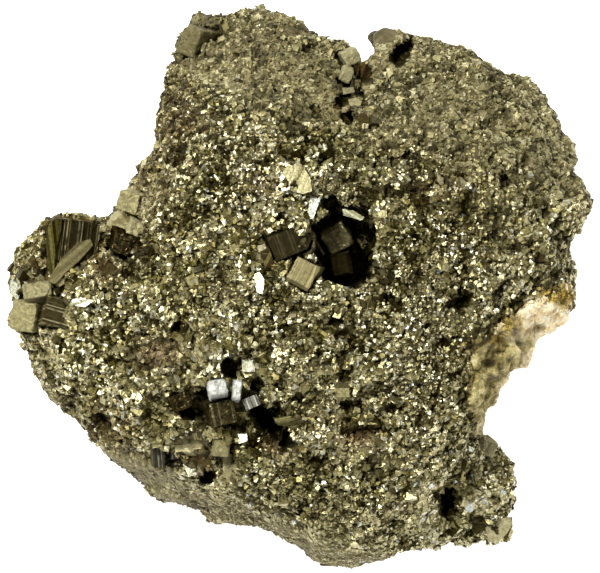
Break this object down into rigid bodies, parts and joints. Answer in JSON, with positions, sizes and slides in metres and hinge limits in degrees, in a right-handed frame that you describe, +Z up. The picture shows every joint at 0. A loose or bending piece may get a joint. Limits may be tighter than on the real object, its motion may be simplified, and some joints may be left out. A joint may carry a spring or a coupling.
{
  "type": "pyrite specimen",
  "caption": "Rough cabinet specimen of massive granular pyrite with open vugs, large cubic crystals and a pale iron-stained quartz seam; it lies on a flat broken back.",
  "frame": {"origin": "middle of the footprint's bounding box, on the resting plane", "axes": "+Z up from the flat broken back to the crystal face; +X along the longest side, across the face; +Y up the face towards the notched edge"},
  "size_m": [0.0878, 0.0852, 0.0465],
  "materials": {
    "pyrite": "satin",
    "crystal": "gloss",
    "quartz": "satin"
  },
  "bodies": {
    "root": {"pyrite_mass": "pyrite", "quartz_seam": "quartz", "vug_crystal_pair": "crystal", "vug_rim_crystal": "crystal", "shoulder_crystal": "crystal", "edge_crystal": "crystal", "corner_crystals": "crystal", "crest_crystal": "crystal", "lower_vug_crystals": "crystal", "dark_vug_crystal": "crystal", "striated_crystal_pair": "crystal", "square_crystal": "crystal", "notch_crystals": "crystal", "lobe_crystal": "crystal"}
  },
  "joints": []
}
